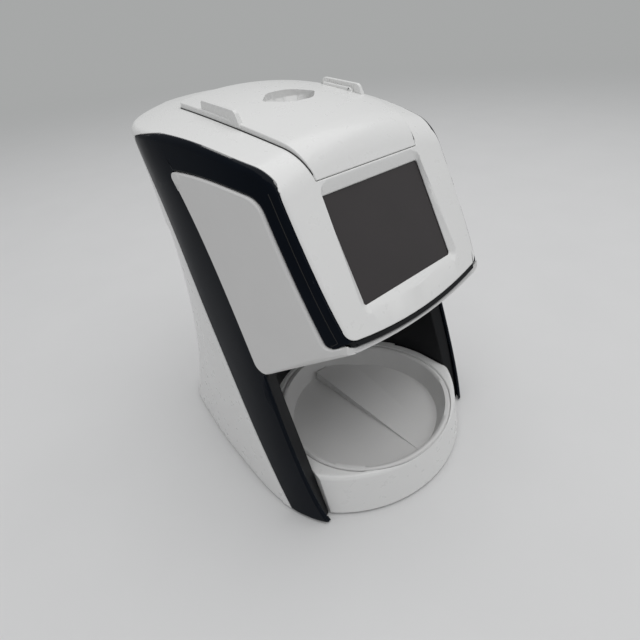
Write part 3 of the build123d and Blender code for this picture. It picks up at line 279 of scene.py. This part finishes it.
# Finish of each slot: the function that makes it and what it is given
SATIN_WHITE = (0.70, 0.696, 0.688)
MATERIALS = {
    "white_gloss": (plastic, dict(
        colour=(0.80, 0.80, 0.79), roughness=0.28, spread=0.006, coat=0.15, peel=0.002, grain=140.0)),
    # White satin: its paler edge tone is a painted highlight on the rounded rims
    "white_satin": (plastic, dict(
        colour=SATIN_WHITE, roughness=0.42, spread=0.015, peel=0.08, grain=1500.0,
        edge_highlight=tint(SATIN_WHITE, 1.06))),
    # Black gloss: its pale edge tone is a painted highlight on the chamfers
    "black_gloss": (plastic, dict(
        colour=(0.0035, 0.0055, 0.0095), roughness=0.12, spread=0.12, coat=0.03, peel=0.03, grain=500.0,
        gloss=0.05, edge_highlight=(0.06, 0.065, 0.075))),
    "black_satin": (plastic, dict(
        colour=(0.004, 0.0045, 0.006), roughness=0.34, spread=0.1, peel=0.1, grain=1200.0, gloss=0.25)),
    "dark_rubber": (rubber, dict(colour=(0.02, 0.02, 0.02))),
    "screen_glass": (plastic, dict(
        colour=(0.040, 0.0355, 0.0365), roughness=0.30, spread=0.05, coat=0.1, peel=0.05, grain=1800.0,
        gloss=0.3)),
    "screen_panel": (plastic, dict(colour=(0.05, 0.05, 0.052), roughness=0.45, spread=0.06)),
    "green_board": (circuit_board, {}),
    "steel_sheet": (metal, dict(colour=(0.56, 0.57, 0.59), roughness=0.34, brushed=(1.0, 1.0, 14.0))),
    "steel_rod": (metal, dict(colour=(0.66, 0.67, 0.69), roughness=0.16, brushed=(1.0, 1.0, 10.0))),
    "aluminium": (metal, dict(colour=(0.74, 0.75, 0.77), roughness=0.32, brushed=(9.0, 1.0, 1.0))),
    "black_anodised": (metal, dict(colour=(0.05, 0.05, 0.055), roughness=0.38, spread=0.15)),
    "brass": (metal, dict(colour=(0.70, 0.50, 0.22), roughness=0.22, brushed=(1.0, 1.0, 8.0))),
    "bronze": (metal, dict(colour=(0.52, 0.33, 0.17), roughness=0.42)),
    "motor_grey": (metal, dict(colour=(0.16, 0.16, 0.17), roughness=0.36)),
    "mirror_face": (mirror_glass, {}),
    "optical_glass": (glassy, dict(colour=(0.92, 0.96, 0.98), roughness=0.02, weight=0.95)),
    "clear_acrylic": (glassy, dict(colour=(0.90, 0.96, 0.97), roughness=0.04, weight=0.9, ior=1.49)),
    "screw_steel": (metal, dict(colour=(0.55, 0.56, 0.58), roughness=0.25)),
    "magnet": (metal, dict(colour=(0.50, 0.50, 0.52), roughness=0.2)),
    "button_white": (plastic, dict(
        colour=(0.74, 0.74, 0.735), roughness=0.24, spread=0.01, coat=0.2, peel=0.01, grain=300.0)),
    "socket_black": (plastic, dict(
        colour=(0.0025, 0.0025, 0.003), roughness=0.42, spread=0.1, peel=0.1, grain=1400.0)),
}

# Moulded pieces: limits of the rounding of their edges, and its width on each piece, in metres
SHARP_ANGLE = math.radians(35)
WELD = 2e-6
ROOM_SHARE = 1.1
LEAST_RUN = 0.012
STRAY_SHARE = 0.6
STRAY_GAP = 1.5e-5
SETTLE_ROUNDS = 6
ROUNDING_STEPS = 2
ROUNDED = {
    "main_shell": 0.0004, "top_cover": 0.0004, "belly_shell": 0.0006, "bezel_trim": 0.0004,
    "side_inlay_left": 0.0008, "side_inlay_right": 0.0008, "leg_liner": 0.0004,
    "base_puck": 0.0007, "receiving_tray": 0.0013,
}

# Box in millimetres round the plate mouth, where these pieces keep the edges of their nodes
MOUTH_BOX = ((-30.0, -14.0, 170.0), (30.0, 32.0, 215.0))
MOUTH_PIECES = ("top_cover", "main_shell")

# Grip fins on the long edges of the cover, in millimetres
FIN_FRONT_Y = -6.0
FIN_REAR_Y = 24.7
FIN_INNER_X = 38.35
FIN_OUTER_X = 40.5
FIN_FOOT_Z = 199.2
FIN_SINK = 0.1
FIN_LEAN = 3.6
FIN_DROP = 2.3
FIN_RADIUS = 3.0
FIN_EDGE = 0.45
ARC_STEPS = 6
RIB_PITCH = 1.5
RIB_WIDTH = 0.7
RIB_RISE = 0.3
RIB_SPAN = 3.6
RIB_DROP = 0.7

# Painted shadow in the seam along the cover and painted groove shade on the inlays, in millimetres
SHADOW_END = 1.5
SHADE_STEP = 0.1
SHADOW_GAP = 0.2
SHADOW_BESIDE = 0.8
SHADE_REACH = 6.0
SHADOW_RADIUS = 0.25
SHADE_PITCH = 1.5
LINE_LOW = 120.0
LINE_HIGH = 182.0
LINE_BACK = 3.4
LINE_RADIUS = 0.22
BEAD_STEPS = 2

# Black border on the screen glass, partly its printed border and partly painted shade of the recess round
# it, in millimetres, and how level its front has to be
BORDER_SHADE_WIDTH = 2.0
BORDER_SHADE_RISE = 0.12
LEVEL_SHARE = 0.999
LEVEL_GAP = 0.01

# Thread of the lead screw, in millimetres
THREAD_PITCH = 2.0
THREAD_DEPTH = 0.45
THREAD_FLANK = 2.4
THREAD_STARTS = 4
THREAD_STEPS = 28
THREAD_ROWS = 7
PLAIN_LOW = 12.0
PLAIN_HIGH = 4.0

# Painted shade of the cross recesses of the screws, and contacts of the network socket, in millimetres
RECESS_WIDTH = 0.8
RECESS_SPAN = 3.0
RECESS_LIP = 0.06
CONTACT_COUNT = 8
CONTACT_PITCH = 1.02
CONTACT_WIDTH = 0.45
CONTACT_TOP = 2.3
CONTACT_PATH = ((2.2, 0.3), (4.0, 0.2), (9.5, 3.6), (11.0, 3.9))
CONTACT_CORNERS = ((-1, -1), (1, -1), (1, 1), (-1, 1))


def dress_nodes():
    made = {}
    for entry in frame["record"]["subparts"]:
        slot = entry["material_slot"]
        if slot not in made:
            finish, settings = MATERIALS[slot]
            made[slot] = finish(slot, **settings)
        mesh = nodes[entry["node"]].data
        mesh.materials.clear()
        mesh.materials.append(made[slot])
    return made


def slot_of(node):
    return next(e["material_slot"] for e in frame["record"]["subparts"] if e["node"] == node)


# A finished mesh becomes a piece that rides on a body and takes its finish from a slot
def make_piece(name, mesh, body, slot, made):
    piece = bpy.data.objects.new(name, mesh)
    scene.collection.objects.link(piece)
    mesh.materials.clear()
    mesh.materials.append(made[slot])
    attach(piece, body)
    return piece


def mesh_of(name, bm):
    mesh = bpy.data.meshes.new(name)
    bm.normal_update()
    bm.to_mesh(mesh)
    bm.free()
    return mesh


# Mesh of a node to work on, with its faces joined along their edges
def welded(node):
    bm = bmesh.new()
    bm.from_mesh(nodes[node].data)
    bmesh.ops.remove_doubles(bm, verts=bm.verts, dist=WELD)
    return bm


def round_off(piece, width):
    bevel = piece.modifiers.new("rounding", "BEVEL")
    bevel.width = width
    bevel.segments = ROUNDING_STEPS
    bevel.limit_method = "WEIGHT"
    bevel.use_clamp_overlap = False
    bevel.harden_normals = True
    even = piece.modifiers.new("even_normals", "WEIGHTED_NORMAL")
    even.mode = "FACE_AREA_WITH_ANGLE"
    even.keep_sharp = True


# Groups of items that are joined by chains of neighbours
def groups(items, neighbours):
    left = set(items)
    while left:
        group = []
        front = [left.pop()]
        while front:
            item = front.pop()
            group.append(item)
            beside = neighbours(item) & left
            left -= beside
            front += beside
        yield group


# Edges that join into runs long enough to round
def whole_runs(edges):
    runs = groups(edges, lambda edge: {e for v in edge.verts for e in v.link_edges})
    return [e for run in runs if sum(e.calc_length() for e in run) > LEAST_RUN for e in run]


# Sharp convex edges get a rounding where the faces beside them leave room for it
def weigh_edges(bm, width, spared=None):
    weight = bm.edges.layers.float.new("bevel_weight_edge")
    for face in bm.faces:
        face.smooth = True
    sharp = {e for e in bm.edges if e.calc_face_angle(0.0) >= SHARP_ANGLE}
    for edge in bm.edges:
        edge.smooth = edge not in sharp
    room = {}
    for vert in {v for e in sharp for v in e.verts}:
        room[vert] = min((e.calc_length() for e in vert.link_edges if e not in sharp), default=width)
    chosen = {e for e in sharp if e.is_convex and min(room[v] for v in e.verts) > width * ROOM_SHARE}
    if spared:
        low, high = spared
        chosen -= {e for e in chosen if all(low[k] * MM < e.verts[0].co[k] < high[k] * MM for k in range(3))}
    for edge in whole_runs(chosen):
        edge[weight] = 1.0


def gap_to_edge(one, two, spot):
    along = two - one
    share = (spot - one).dot(along) / (along.length or WELD) ** 2
    return (one + along * min(max(share, 0.0), 1.0) - spot).length


# The rounding only takes material away: where it strays from the form, its edges stay sharp
def settle(piece, tree, width):
    weights = piece.data.attributes["bevel_weight_edge"].data
    verts = piece.data.vertices
    for attempt in range(SETTLE_ROUNDS):
        graph = bpy.context.evaluated_depsgraph_get()
        graph.update()
        done = piece.evaluated_get(graph)
        stray = []
        for vert in done.to_mesh().vertices:
            near, normal, _, gap = tree.find_nearest(vert.co)
            outside = (vert.co - near).dot(normal) > STRAY_GAP
            if gap > width * STRAY_SHARE or (outside and gap > STRAY_GAP):
                stray.append(near)
        done.to_mesh_clear()
        if not stray:
            return
        reach = width * (attempt + 2)
        for edge in piece.data.edges:
            one, two = (verts[k].co for k in edge.vertices)
            if weights[edge.index].value and any(gap_to_edge(one, two, spot) < reach for spot in stray):
                weights[edge.index].value = 0.0
        piece.data.update()
    print("not settled", piece.name, len(stray))


# Moulded piece with the form of its node and soft edges
def mould(node, width, made):
    bm = welded(node)
    weigh_edges(bm, width, MOUTH_BOX if node in MOUTH_PIECES else None)
    tree = BVHTree.FromBMesh(bm)
    name = node + "_moulded"
    piece = make_piece(name, mesh_of(name, bm), body_of(nodes[node])[0], slot_of(node), made)
    round_off(piece, width)
    settle(piece, tree, width)
    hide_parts(node)


def box_in(bm, low, high):
    for vert in bmesh.ops.create_cube(bm, size=1.0)["verts"]:
        vert.co = Vector([(a + b) / 2 + c * (b - a) for a, b, c in zip(low, high, vert.co)])


# Quads from ring to ring, closed by a face at each end
def skin(bm, rings):
    count = len(rings[0])
    for one, two in zip(rings, rings[1:]):
        for j in range(count):
            i = (j + 1) % count
            bm.faces.new((one[j], one[i], two[i], two[j]))
    bm.faces.new(rings[0][::-1])
    bm.faces.new(rings[-1])


# Corner of an outline replaced by an arc that is tangent to both sides
def arc_corner(before, corner, after, radius):
    into = (before - corner).normalized()
    out = (after - corner).normalized()
    half = into.angle(out) / 2
    reach = radius / math.tan(half)
    middle = corner + (into + out).normalized() * (radius / math.sin(half))
    first = corner + into * reach - middle
    last = corner + out * reach - middle
    turns = [first.slerp(last, k / ARC_STEPS).normalized() for k in range(ARC_STEPS + 1)]
    return [middle + turn * radius for turn in turns]


# Upright fin with two round corners, and fine ribs on its inner face
def grip_fin(name, side, made):
    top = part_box("top_cover")[1].z / MM - FIN_SINK
    corners = [
        Vector((0.0, FIN_FRONT_Y, FIN_FOOT_Z)), Vector((0.0, FIN_REAR_Y, FIN_FOOT_Z)),
        Vector((0.0, FIN_REAR_Y, top)), Vector((0.0, FIN_FRONT_Y + FIN_LEAN, top - FIN_DROP)),
    ]
    outline = corners[:2]
    outline += arc_corner(corners[1], corners[2], corners[3], FIN_RADIUS / 2)
    outline += arc_corner(corners[2], corners[3], corners[0], FIN_RADIUS)
    bm = bmesh.new()
    near, far = FIN_INNER_X * side, FIN_OUTER_X * side
    skin(bm, [[bm.verts.new((x * MM, p.y * MM, p.z * MM)) for p in outline] for x in (near, far)])
    rib_front = FIN_FRONT_Y + FIN_LEAN + FIN_RADIUS
    rib_sides = sorted((near, near - RIB_RISE * side))
    for k in range(int((FIN_REAR_Y - FIN_RADIUS - rib_front) / RIB_PITCH)):
        y = rib_front + RIB_PITCH * (k + 1 / 2)
        crest = top - RIB_DROP - FIN_DROP * (FIN_REAR_Y - y) / (FIN_REAR_Y - FIN_FRONT_Y - FIN_LEAN)
        low = (rib_sides[0] * MM, (y - RIB_WIDTH / 2) * MM, (top - FIN_DROP - RIB_SPAN) * MM)
        high = (rib_sides[1] * MM, (y + RIB_WIDTH / 2) * MM, crest * MM)
        box_in(bm, low, high)
    bmesh.ops.recalc_face_normals(bm, faces=bm.faces)
    width = FIN_EDGE * MM / 2
    weigh_edges(bm, width)
    round_off(make_piece(name, mesh_of(name, bm), "cover", "white_gloss", made), width)


def rays_on(node):
    bm = bmesh.new()
    bm.from_mesh(nodes[node].data)
    tree = BVHTree.FromBMesh(bm)
    bm.free()
    return tree


# Round bead on the housing, along one or more paths of points in metres
def bead(name, paths, radius, slot, made):
    data = bpy.data.curves.new(name, "CURVE")
    data.dimensions = "3D"
    data.bevel_depth = radius
    data.bevel_resolution = BEAD_STEPS
    data.use_fill_caps = True
    for path in paths:
        spline = data.splines.new("POLY")
        spline.points.add(len(path) - 1)
        for point, place in zip(spline.points, path):
            point.co = (*place, 1.0)
        spline.use_smooth = True
    piece = bpy.data.objects.new(name, data)
    scene.collection.objects.link(piece)
    data.materials.append(made[slot])
    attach(piece, "housing")


# Dark bead in the seam along both sides of the cover, a painted shadow of the seam, found by rays from above
def painted_seam_shadow(made):
    cover = rays_on("top_cover")
    shell = rays_on("main_shell")
    low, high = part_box("top_cover")
    over = high.z + SHADE_REACH * MM
    down = Vector((0.0, 0.0, -1.0))
    paths = []
    for side in (-1, 1):
        path = []
        y = low.y + SHADOW_END * MM
        while y < high.y - SHADOW_END * MM:
            x = high.x + SHADE_STEP * MM
            while x > high.x / 2 and not cover.ray_cast(Vector((x * side, y, over)), down)[0]:
                x -= SHADE_STEP * MM
            ground = shell.ray_cast(Vector(((x + SHADOW_BESIDE * MM) * side, y, over)), down)[0]
            path.append(((x + SHADOW_GAP * MM) * side, y, ground.z + SHADOW_GAP * MM / 2))
            y += SHADE_PITCH * MM
        paths.append(path)
    bead("painted_seam_shadow", paths, SHADOW_RADIUS * MM, "socket_black", made)


# Fine dark line along the front of an inlay, a little behind its front edge: painted shade of the crease
# between its face and its front chamfer
def inlay_groove_shade(node, made):
    inlay = rays_on(node)
    low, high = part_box(node)
    side = 1 if low.x > 0 else -1
    outside = max(abs(low.x), abs(high.x)) + SHADE_REACH * MM
    across = Vector((-side, 0.0, 0.0))
    path = []
    z = LINE_LOW * MM
    while z < LINE_HIGH * MM:
        y = low.y
        while y < 0.0 and not inlay.ray_cast(Vector((outside * side, y, z)), across)[0]:
            y += SHADE_STEP * MM
        spot = inlay.ray_cast(Vector((outside * side, y + LINE_BACK * MM, z)), across)[0]
        if spot:
            path.append(tuple(spot))
        z += SHADE_PITCH * MM
    bead(node + "_line", [path], LINE_RADIUS * MM, "socket_black", made)


# Dark border on the front of the screen glass, along its outline: partly a printed border, partly painted
# shade of the bezel recess
def screen_border_and_shade(made):
    bm = welded("screen_glass")
    facing = [f for f in bm.faces if f.normal.z > 0 and f.normal.y < 0]
    front = max(facing, key=lambda f: f.calc_area())
    normal = front.normal.copy()
    level = front.calc_center_median().dot(normal)
    flat = [f for f in bm.faces if f.normal.dot(normal) > LEVEL_SHARE]
    top = {f for f in flat if abs(f.calc_center_median().dot(normal) - level) < LEVEL_GAP * MM}
    bmesh.ops.delete(bm, geom=[f for f in bm.faces if f not in top], context="FACES")
    middle = bm.faces[:]
    thickness = BORDER_SHADE_WIDTH * MM
    bmesh.ops.inset_region(bm, faces=middle, thickness=thickness, use_boundary=True, use_even_offset=True)
    bmesh.ops.delete(bm, geom=middle, context="FACES")
    raised = bmesh.ops.extrude_face_region(bm, geom=bm.faces[:])["geom"]
    for vert in (g for g in raised if isinstance(g, bmesh.types.BMVert)):
        vert.co += normal * BORDER_SHADE_RISE * MM
    bmesh.ops.recalc_face_normals(bm, faces=bm.faces)
    make_piece("screen_border_and_shade", mesh_of("screen_border_and_shade", bm), "housing", "black_satin", made)


# Lead screw with its thread cut in: a rod whose radius follows the helix, plain at both ends
def threaded_screw(made):
    name = "lead_screw_threaded"
    low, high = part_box("lead_screw")
    middle = (low + high) / 2
    radius = (high.x - low.x) / 2
    rows = int((high.z - low.z) / (THREAD_PITCH * MM) * THREAD_ROWS)
    bm = bmesh.new()
    rings = []
    for k in range(rows + 1):
        z = low.z + (high.z - low.z) * k / rows
        cut = low.z + PLAIN_LOW * MM < z < high.z - PLAIN_HIGH * MM
        ring = []
        for j in range(THREAD_STEPS):
            turn = j / THREAD_STEPS
            phase = (z / MM - turn * THREAD_STARTS * THREAD_PITCH) / THREAD_PITCH % 1.0
            depth = THREAD_DEPTH * MM * min(1.0, THREAD_FLANK * abs(phase - 0.5)) if cut else 0.0
            angle = 2 * math.pi * turn
            x = middle.x + (radius - depth) * math.cos(angle)
            y = middle.y + (radius - depth) * math.sin(angle)
            ring.append(bm.verts.new((x, y, z)))
        rings.append(ring)
    skin(bm, rings)
    for face in bm.faces:
        face.smooth = len(face.verts) == 4
    piece = make_piece(name, mesh_of(name, bm), "screw", "steel_rod", made)
    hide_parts("lead_screw")


# Box round each separate solid of a node, in order of place
def boxes_of(node):
    bm = welded(node)
    boxes = []
    for group in groups(bm.verts, lambda vert: {e.other_vert(vert) for e in vert.link_edges}):
        low = Vector([min(v.co[k] for v in group) for k in range(3)])
        high = Vector([max(v.co[k] for v in group) for k in range(3)])
        boxes.append((low, high))
    bm.free()
    return sorted(boxes, key=lambda box: (round(box[0].x, 5), round(box[0].y, 5)))


# Cross recesses in the heads of the bottom screws, drawn as thin black crosses on the heads: painted shade
# in place of hollows
def screw_recess_shade(made):
    bm = bmesh.new()
    lip = Vector((0.0, 0.0, RECESS_LIP)) * MM
    for low, high in boxes_of("bottom_screws"):
        middle = Vector(((low.x + high.x) / 2, (low.y + high.y) / 2, low.z))
        for spans in ((RECESS_SPAN, RECESS_WIDTH), (RECESS_WIDTH, RECESS_SPAN)):
            corner = Vector((*spans, 0.0)) * MM / 2
            box_in(bm, middle - lip - corner, middle + lip + corner)
    weigh_edges(bm, RECESS_LIP * MM)
    piece = make_piece("screw_recess_shade", mesh_of("screw_recess_shade", bm), "housing", "socket_black", made)
    round_off(piece, RECESS_LIP * MM / 2)


# Spring contacts in the network socket, bent down from its upper wall
def socket_contacts(made):
    low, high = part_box("network_socket")
    middle_x = (low.x + high.x) / 2
    top = high.z - CONTACT_TOP * MM
    half = CONTACT_WIDTH * MM / 2
    path = [(high.y - MM * y, top - MM * z) for y, z in CONTACT_PATH]
    bm = bmesh.new()
    for k in range(CONTACT_COUNT):
        x = middle_x + (k - (CONTACT_COUNT - 1) / 2) * CONTACT_PITCH * MM
        rings = []
        for y, z in path:
            places = [(x + sx * half, y, z + sz * half) for sx, sz in CONTACT_CORNERS]
            rings.append([bm.verts.new(place) for place in places])
        skin(bm, rings)
    bmesh.ops.recalc_face_normals(bm, faces=bm.faces)
    make_piece("socket_contacts", mesh_of("socket_contacts", bm), "housing", "brass", made)


# 1 for a ray that shows the background: from the camera, a reflection or through glass
def seen_ray(tree):
    path = tree.nodes.new("ShaderNodeLightPath")
    out = path.outputs["Is Camera Ray"]
    for kind in ("Is Glossy Ray", "Is Transmission Ray"):
        most = tree.nodes.new("ShaderNodeMath")
        most.operation = "MAXIMUM"
        tree.links.new(out, most.inputs[0])
        tree.links.new(path.outputs[kind], most.inputs[1])
        out = most.outputs["Value"]
    return out


# Paper of the floor, which turns into the plain background far from the object
def floor_paper():
    n = Nodes("floor_paper")
    n.base_colour(n.noise(scale=14.0), low=tint(FLOOR_TONE, 0.985), high=FLOOR_TONE)
    n.roughness(n.noise(scale=40.0), low=0.5, high=0.62)
    n.set(Specular_IOR_Level=0.2)
    length = n.add("ShaderNodeVectorMath", operation="LENGTH")
    n.link(n.place(), length.inputs[0])
    fall = n.add("ShaderNodeMapRange", interpolation_type="SMOOTHSTEP")
    fall.inputs["From Min"].default_value = BACKGROUND_START
    fall.inputs["From Max"].default_value = BACKGROUND_FULL
    n.link(length.outputs["Value"], fall.inputs["Value"])
    share = n.add("ShaderNodeMath", operation="MULTIPLY")
    n.link(fall.outputs["Result"], share.inputs[0])
    n.link(seen_ray(n.tree), share.inputs[1])
    far_tone = n.add("ShaderNodeEmission", Color=(*BACKGROUND_TONE, 1.0))
    mix = n.add("ShaderNodeMixShader")
    n.link(share.outputs["Value"], mix.inputs[0])
    n.link(n.shader.outputs[0], mix.inputs[1])
    n.link(far_tone.outputs[0], mix.inputs[2])
    n.link(mix.outputs[0], n.tree.nodes["Material Output"].inputs["Surface"])
    return n.material


# Pale floor that takes the shadow
def make_floor():
    bpy.ops.mesh.primitive_circle_add(vertices=FLOOR_SIDES, radius=FLOOR_RADIUS, fill_type="NGON")
    floor = bpy.context.object
    floor.name = "floor"
    floor.data.materials.append(floor_paper())


def area_light(name, place, target, size, power):
    data = bpy.data.lights.new(name, "AREA")
    data.shape = "RECTANGLE"
    data.size, data.size_y = size
    data.energy = power
    lamp = bpy.data.objects.new(name, data)
    aim = Vector(target) - Vector(place)
    lamp.rotation_euler = aim.to_track_quat("-Z", "Y").to_euler()
    lamp.location = place
    scene.collection.objects.link(lamp)


# Two soft lights in an evenly lit room, whose light isn't what the camera sees behind the floor
def light_studio():
    for name, settings in LIGHTS.items():
        area_light(name, **settings)
    world = bpy.data.worlds.new("studio")
    scene.world = world
    world.use_nodes = True
    tree = world.node_tree
    lit = tree.nodes["Background"]
    lit.inputs["Color"].default_value = (*ROOM_TONE, 1.0)
    lit.inputs["Strength"].default_value = ROOM_STRENGTH
    seen = tree.nodes.new("ShaderNodeBackground")
    seen.inputs["Color"].default_value = (*BACKGROUND_TONE, 1.0)
    mix = tree.nodes.new("ShaderNodeMixShader")
    tree.links.new(seen_ray(tree), mix.inputs[0])
    tree.links.new(lit.outputs[0], mix.inputs[1])
    tree.links.new(seen.outputs[0], mix.inputs[2])
    tree.links.new(mix.outputs[0], tree.nodes["World Output"].inputs["Surface"])
    scene.view_settings.view_transform = "Standard"


place_camera()
finishes = dress_nodes()
for moulded_node, edge_width in ROUNDED.items():
    mould(moulded_node, edge_width, finishes)
grip_fin("grip_fin_left", -1, finishes)
grip_fin("grip_fin_right", 1, finishes)
# Painted shadow in the cover seam and painted groove shade on the inlays
painted_seam_shadow(finishes)
for inlay_node in ("side_inlay_left", "side_inlay_right"):
    inlay_groove_shade(inlay_node, finishes)
# Screen border, partly painted shade of the recess
screen_border_and_shade(finishes)
threaded_screw(finishes)
# Painted shade in the screw recesses
screw_recess_shade(finishes)
socket_contacts(finishes)
make_floor()
light_studio()
